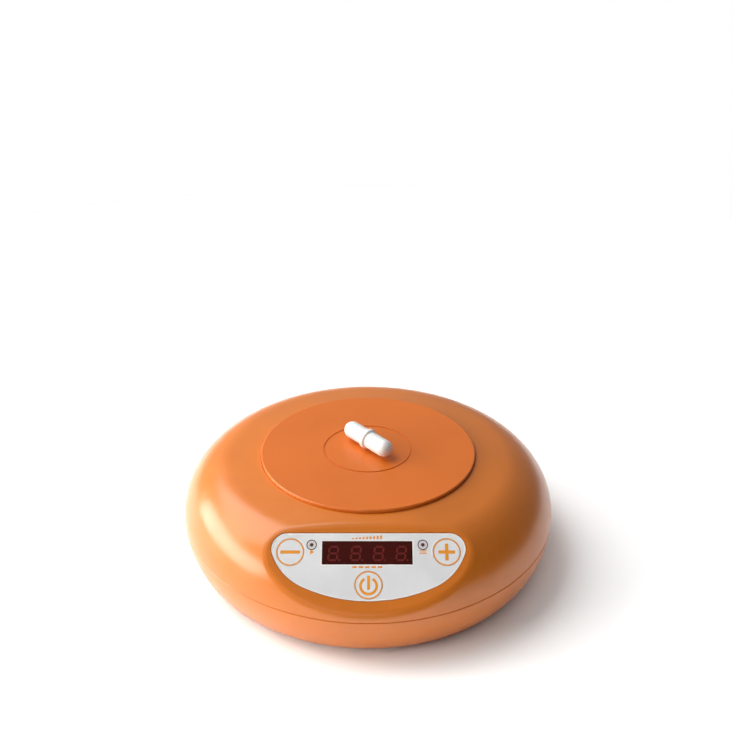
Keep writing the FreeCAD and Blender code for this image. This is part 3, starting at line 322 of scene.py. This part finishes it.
def piece(name, mesh, finish, body, place=PANEL, smooth=True):
    """Puts a finished bmesh into the scene as one piece that rides on a body."""
    mesh.transform(place)
    bmesh.ops.recalc_face_normals(mesh, faces=mesh.faces)
    data = bpy.data.meshes.new(name)
    mesh.to_mesh(data)
    mesh.free()
    if smooth:
        data.polygons.foreach_set("use_smooth", [True] * len(data.polygons))
        data.set_sharp_from_angle(angle=math.radians(35))
    data.materials.append(finish.material)
    made = bpy.data.objects.new(name, data)
    bpy.context.scene.collection.objects.link(made)
    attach(made, body)


def edges_of(verts):
    """The edges at these vertices, each once and always in the same order."""
    return list(dict.fromkeys(edge for vert in verts for edge in vert.link_edges))


def raise_face(mesh, faces, height):
    """Draws flat faces up into a plate and gives the vertices of its top."""
    raised = bmesh.ops.extrude_face_region(mesh, geom=faces)["geom"]
    tops = [v for v in raised if isinstance(v, bmesh.types.BMVert)]
    bmesh.ops.translate(mesh, verts=tops, vec=(0, 0, height * MM))
    return tops


def bar(mesh, at, length, width, tall, corner):
    """A flat bar with rounded corners."""
    place = (Matrix.Translation(at) @ Matrix.Translation((0, 0, (tall - SUNK) / 2 * MM))
             @ Matrix.Diagonal((length * MM, width * MM, (tall + SUNK) * MM, 1)))
    corners = bmesh.ops.create_cube(mesh, size=1, matrix=place)["verts"]
    upright = [e for e in edges_of(corners)
               if abs((e.verts[0].co - e.verts[1].co).normalized().z) > 0.9]
    bmesh.ops.bevel(mesh, geom=upright, offset=corner * MM, segments=4, profile=0.5,
                    affect="EDGES", material=-1)


def band(mesh, at, outer, inner, tall, open_angle=0.0):
    """A flat ring, or with open_angle a ring that is open at the top by that angle."""
    start = math.pi / 2 + open_angle / 2
    section = []
    for radius, height in ((inner, -SUNK), (outer, -SUNK), (outer, tall), (inner, tall)):
        section.append(mesh.verts.new(Vector(at) + Vector((
            radius * MM * math.cos(start), radius * MM * math.sin(start), height * MM))))
    edges = [mesh.edges.new((section[i], section[(i + 1) % 4])) for i in range(4)]
    bmesh.ops.spin(mesh, geom=section + edges, cent=at, axis=UP, angle=2 * math.pi - open_angle,
                   steps=96, use_merge=not open_angle, use_duplicate=False)
    if open_angle:
        bmesh.ops.holes_fill(mesh, edges=[e for e in mesh.edges if e.is_boundary], sides=4)


def disc(mesh, at, radius, tall):
    """A round spot with a softened rim."""
    foot = Matrix.Translation(Vector(at) - Vector((0, 0, SUNK * MM)))
    made = bmesh.ops.create_circle(mesh, cap_ends=True, segments=48, radius=radius * MM, matrix=foot)
    tops = raise_face(mesh, [made["verts"][0].link_faces[0]], tall + SUNK)
    rim = [e for e in edges_of(tops) if all(v in tops for v in e.verts)]
    bmesh.ops.bevel(mesh, geom=rim, offset=SPOT_EDGE * MM, segments=2, profile=0.5,
                    affect="EDGES", material=-1)


def arrow(mesh, at, radius, tall):
    """A flat triangle that points down the slope."""
    bmesh.ops.create_circle(mesh, cap_ends=True, segments=3, radius=radius * MM,
                            matrix=Matrix.Translation(at) @ Matrix.Rotation(-math.pi / 2, 4, "Z"))
    raise_face(mesh, list(mesh.faces), tall)


# ---- the keys' rings and symbols ------------------------------------------------------------

INK = 0.035
KEY_RING_OUTER, KEY_RING_INNER = 5.7, 5.16
MINUS_LONG, PLUS_LONG, SIGN_STROKE = 8.1, 6.9, 1.35
POWER_OUTER, POWER_INNER, POWER_OPEN = 3.8, 2.75, math.radians(62)
POWER_RING_DOWN, POWER_BAR_UP = 0.35, 0.95
POWER_BAR_WIDE, POWER_BAR_TALL = 1.15, 5.7
ARM_INTO_BAR = 0.1


def power_symbol(mesh, middle):
    band(mesh, middle - Vector((0, POWER_RING_DOWN * MM, 0)), POWER_OUTER, POWER_INNER, INK,
         open_angle=POWER_OPEN)
    bar(mesh, middle + Vector((0, POWER_BAR_UP * MM, 0)), POWER_BAR_WIDE, POWER_BAR_TALL, INK,
        corner=0.2)


def minus_symbol(mesh, middle):
    bar(mesh, middle, MINUS_LONG, SIGN_STROKE, INK, corner=0.25)


def plus_symbol(mesh, middle):
    bar(mesh, middle, PLUS_LONG, SIGN_STROKE, INK, corner=0.25)
    upper = Vector((0, (PLUS_LONG + SIGN_STROKE) / 4 * MM, 0))
    for side in (upper, -upper):
        bar(mesh, middle + side, SIGN_STROKE, (PLUS_LONG - SIGN_STROKE) / 2 + ARM_INTO_BAR, INK,
            corner=0.2)


SYMBOLS = {"minus": minus_symbol, "plus": plus_symbol, "power": power_symbol}
for key in KEYS:
    middle = on_panel(f"key_{key}")
    ring = bmesh.new()
    band(ring, middle, KEY_RING_OUTER, KEY_RING_INNER, INK)
    piece(f"key_ring_{key}", ring, print_orange, f"key_{key}_cap")
    symbol = bmesh.new()
    SYMBOLS[key](symbol, middle)
    piece(f"key_symbol_{key}", symbol, print_orange, f"key_{key}_cap")


# ---- round each light pipe a dark ring, on it the lamp's dark spot, and a mark below ---------

INDICATOR_OUTER, INDICATOR_INNER = 2.15, 1.75
SPOT_RADIUS, SPOT_TALL = 0.75, 0.03
MARK_DOWN = 3.0
ARROW_RADIUS = 1.15
LINE_PITCH, LINE_THICK, LONG_LINE, SHORT_LINE = 0.62, 0.3, 3.4, 2.3

for lamp in LAMPS:
    middle = on_panel(f"light_pipe_{lamp}")
    face = Vector((middle.x, middle.y, 0))
    ring = bmesh.new()
    band(ring, face, INDICATOR_OUTER, INDICATOR_INNER, INK)
    piece(f"indicator_ring_{lamp}", ring, print_dark, "housing")
    spot = bmesh.new()
    disc(spot, middle, SPOT_RADIUS, SPOT_TALL)
    piece(f"indicator_spot_{lamp}", spot, print_dark, "housing")
    mark = bmesh.new()
    below = face - Vector((0, MARK_DOWN * MM, 0))
    if lamp == "run":
        arrow(mark, below, ARROW_RADIUS, INK)
    else:
        for step, length in ((1, LONG_LINE), (0, SHORT_LINE), (-1, LONG_LINE)):
            bar(mark, below + Vector((0, step * LINE_PITCH * MM, 0)), length, LINE_THICK, INK,
                corner=0.1)
    piece(f"indicator_mark_{lamp}", mark, print_orange, "housing", smooth=False)


# ---- the display's four unlit digits with their points, slanted a little ---------------------

DIGITS, DIGIT_PITCH = 4, 9.3
DIGIT_WIDE, DIGIT_TALL, STROKE = 3.6, 5.6, 0.85
DIGIT_SLANT = math.radians(7)
DIGIT_INK = 0.012
DIGIT_DOWN = 0.3
POINT_RADIUS, POINT_ASIDE = 0.42, 1.15
SEGMENT_SHORTER, SEGMENT_CORNER = STROKE * 0.7, STROKE * 0.42

slant = Matrix.Identity(4)
slant[0][1] = math.tan(DIGIT_SLANT)
window_middle = on_panel("display_window")
for place in range(DIGITS):
    digit = bmesh.new()
    for height in (-0.5, 0, 0.5):
        bar(digit, (0, height * DIGIT_TALL * MM, 0), DIGIT_WIDE - SEGMENT_SHORTER, STROKE, DIGIT_INK,
            SEGMENT_CORNER)
    for side in (-0.5, 0.5):
        for height in (-0.25, 0.25):
            bar(digit, (side * DIGIT_WIDE * MM, height * DIGIT_TALL * MM, 0), STROKE,
                DIGIT_TALL / 2 - SEGMENT_SHORTER, DIGIT_INK, SEGMENT_CORNER)
    disc(digit, ((DIGIT_WIDE / 2 + POINT_ASIDE) * MM, -DIGIT_TALL / 2 * MM, 0), POINT_RADIUS,
         DIGIT_INK)
    aside = (place - (DIGITS - 1) / 2) * DIGIT_PITCH
    digit.transform(Matrix.Translation(window_middle + Vector((aside * MM, -DIGIT_DOWN * MM, 0)))
                    @ slant)
    piece(f"display_digit_{place + 1}", digit, digit_red, "housing")


# ---- a white line along the film's edge and round the window: a painted highlight of the rim ---

EDGE_LINE_WIDE, EDGE_LINE_TALL, EDGE_LINE_PROUD = 0.55, 0.04, 0.02
HOLE_REACH = 6.5         # a round hole's rim lies nearer than this to the hole's middle
round_holes = [on_panel(f"key_{key}") for key in KEYS]
round_holes += [on_panel(f"light_pipe_{lamp}") for lamp in LAMPS]


def off_the_face(face):
    """Whether this part of the film is its side or its back, in the panel's frame."""
    return face.normal.z < 0.99 or face.calc_center_median().z < -0.1 * MM


def lines_a_hole(face):
    """Whether this part of the strip runs round a key or a light pipe."""
    hole = min(round_holes, key=lambda spot: (face.calc_center_median() - spot).xy.length)
    rim = [(v.co - hole).xy.length for v in face.verts if v.is_boundary]
    inside = [(v.co - hole).xy.length for v in face.verts if not v.is_boundary]
    return min(rim) < min(inside) and min(rim) < HOLE_REACH * MM


# a strip on the film's face along its edge and round the window, painted white as the rim's
# highlight
edge_highlight = bmesh.new()
edge_highlight.from_mesh(nodes["panel_film"].data)
bmesh.ops.remove_doubles(edge_highlight, verts=edge_highlight.verts, dist=1e-6)
edge_highlight.transform(PANEL.inverted())
edge_highlight.normal_update()
bmesh.ops.delete(edge_highlight, geom=[f for f in edge_highlight.faces if off_the_face(f)], context="FACES")
strip = bmesh.ops.inset_region(edge_highlight, faces=edge_highlight.faces[:], thickness=EDGE_LINE_WIDE * MM,
                               use_boundary=True, use_even_offset=True)["faces"]
keep = {f for f in strip if not lines_a_hole(f)}
bmesh.ops.delete(edge_highlight, geom=[f for f in edge_highlight.faces if f not in keep], context="FACES")
bmesh.ops.translate(edge_highlight, verts=edge_highlight.verts, vec=(0, 0, EDGE_LINE_PROUD * MM))
bmesh.ops.solidify(edge_highlight, geom=edge_highlight.faces[:], thickness=EDGE_LINE_TALL * MM)
piece("film_edge_highlight", edge_highlight, highlight_white, "housing", smooth=False)


# ---- plain rows over and under the display: a rising speed scale, and even dashes ------------

SCALE_BARS, SCALE_PITCH, SCALE_WIDE = 9, 1.45, 0.8
SCALE_LOWEST, SCALE_RISE, SCALE_DOWN = 0.5, 0.13, 2.5
DASHES, DASH_PITCH, DASH_LONG, DASH_THICK, DASH_DOWN = 5, 2.6, 1.9, 0.7, 14.15

scale = bmesh.new()
for step in range(SCALE_BARS):
    tall = SCALE_LOWEST + SCALE_RISE * step
    bar(scale, ((step - 4.4) * SCALE_PITCH * MM, (-SCALE_DOWN + tall / 2) * MM, 0), SCALE_WIDE, tall,
        INK, corner=0.12)
piece("speed_scale", scale, print_orange, "housing")
dashes = bmesh.new()
for step in range(DASHES):
    bar(dashes, ((step - 2.2) * DASH_PITCH * MM, -DASH_DOWN * MM, 0), DASH_LONG, DASH_THICK, INK,
        corner=0.25)
piece("dash_row", dashes, print_orange, "housing")


# ---- the rating label under the body: a border and plain lines of print ----------------------

LABEL_INK, LABEL_CORNER, BORDER_THICK = 0.02, 0.1, 0.3
BORDER_OUT, BORDER_LONG, BORDER_DEEP = 0.44, 0.88, 0.86       # shares of the label's sides
ROW_LONG, ROW_SHORTER, ROW_ASIDE = 0.74, 0.12, 0.06           # every second row is shorter
ROW_THICK, ROW_PITCH, ROWS = 0.045, 0.15, 5

low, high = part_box("rating_label")
UNDER = Matrix.Translation(((low[0] + high[0]) / 2, (low[1] + high[1]) / 2,
                            low[2])) @ Matrix.Rotation(math.pi, 4, "X")
wide = (high[0] - low[0]) / MM
deep = (high[1] - low[1]) / MM
label_print = bmesh.new()
for row in range(ROWS):
    short = row % 2
    at = (-wide * ROW_ASIDE * short * MM, (row - (ROWS - 1) / 2) * deep * ROW_PITCH * MM, 0)
    bar(label_print, at, wide * (ROW_LONG - ROW_SHORTER * short), deep * ROW_THICK, LABEL_INK,
        LABEL_CORNER)
for side in (-BORDER_OUT, BORDER_OUT):
    bar(label_print, (side * wide * MM, 0, 0), BORDER_THICK, deep * BORDER_DEEP, LABEL_INK,
        LABEL_CORNER)
    bar(label_print, (0, side * deep * MM, 0), wide * BORDER_LONG, BORDER_THICK, LABEL_INK,
        LABEL_CORNER)
piece("label_print", label_print, label_ink, "housing", UNDER)


# ---- floor, light and camera: all in metres and watts ----------------------------------------

def paper_floor(radius):
    """A round sheet of pale paper to stand on."""
    mesh = bmesh.new()
    bmesh.ops.create_circle(mesh, cap_ends=True, segments=96, radius=radius)
    data = bpy.data.meshes.new("studio_floor")
    mesh.to_mesh(data)
    mesh.free()
    paper = Finish("floor_paper", (0.84, 0.84, 0.84, 1), 0.85)
    paper.mottle_and_shade(paper.noise(300), dark=0.99, light=1.01)
    data.materials.append(paper.material)
    made = bpy.data.objects.new("studio_floor", data)
    bpy.context.scene.collection.objects.link(made)
    return made


def studio_world(brightest, dimmest, turn):
    """A white room, brightest on the left and behind, that falls off to the right and the front."""
    world = bpy.data.worlds.new("studio")
    world.use_nodes = True
    make, link = world.node_tree.nodes.new, world.node_tree.links.new
    background = world.node_tree.nodes["Background"]
    background.inputs["Color"].default_value = (1, 1, 1, 1)
    sight = make("ShaderNodeTexCoord")
    turned_sight = make("ShaderNodeMapping")
    turned_sight.inputs["Rotation"].default_value = (0, 0, turn)
    parts = make("ShaderNodeSeparateXYZ")
    fall = make("ShaderNodeMapRange")
    fall.inputs["From Min"].default_value = -1
    fall.inputs["To Min"].default_value = brightest
    fall.inputs["To Max"].default_value = dimmest
    link(sight.outputs["Generated"], turned_sight.inputs["Vector"])
    link(turned_sight.outputs["Vector"], parts.inputs["Vector"])
    link(parts.outputs["X"], fall.inputs["Value"])
    # the room is white to look at, but gives no more light than that fall says
    seen = make("ShaderNodeLightPath")
    white = make("ShaderNodeMix")
    white.inputs["B"].default_value = 1.0
    link(seen.outputs["Is Camera Ray"], white.inputs["Factor"])
    link(fall.outputs["Result"], white.inputs["A"])
    link(white.outputs["Result"], background.inputs["Strength"])
    bpy.context.scene.world = world


def lamp_panel(name, at, aim, wide, tall, watts, colour=(1, 1, 1), only=None):
    """A soft studio light of this size that faces the point aim. It can light one thing only."""
    data = bpy.data.lights.new(name, "AREA")
    data.shape = "RECTANGLE"
    data.size, data.size_y = wide, tall
    data.energy = watts
    data.color = colour
    made = bpy.data.objects.new(name, data)
    made.location = at
    made.rotation_euler = (Vector(aim) - Vector(at)).to_track_quat("-Z", "Y").to_euler()
    bpy.context.scene.collection.objects.link(made)
    if only:
        lit = bpy.data.collections.new(name + "_lit")
        lit.objects.link(only)
        made.light_linking.receiver_collection = lit


def studio_camera(at, pitch, lens):
    """A full-frame camera that looks along +Y and down by the pitch in degrees."""
    data = bpy.data.cameras.new("camera")
    data.sensor_width = 36
    data.lens = lens
    made = bpy.data.objects.new("camera", data)
    made.location = at
    made.rotation_euler = (math.radians(90 - pitch), 0, 0)
    bpy.context.scene.collection.objects.link(made)
    bpy.context.scene.camera = made


studio_floor = paper_floor(radius=0.62)
studio_world(brightest=0.5, dimmest=0.02, turn=math.radians(40))
lamp_panel("left_softbox", (-0.8, -0.03, 0.24), aim=(0, 0, 0.03), wide=0.95, tall=0.32, watts=8.7,
           colour=(1, 0.96, 0.9))
lamp_panel("overhead_softbox", (-0.62, 0.3, 0.98), aim=(0, 0, 0.02), wide=1.0, tall=1.0, watts=10.8)
lamp_panel("front_fill", (-0.25, -1.3, 0.7), aim=(0, 0, 0.03), wide=0.7, tall=0.5, watts=1.2)
lamp_panel("floor_light", (0.35, 0.1, 1.6), aim=(0.1, 0, 0), wide=2.4, tall=2.4, watts=12,
           only=studio_floor)
studio_camera(at=(-0.001, -0.3747, 0.2803), pitch=26.55, lens=45.95)
bpy.context.scene.view_settings.view_transform = "Standard"
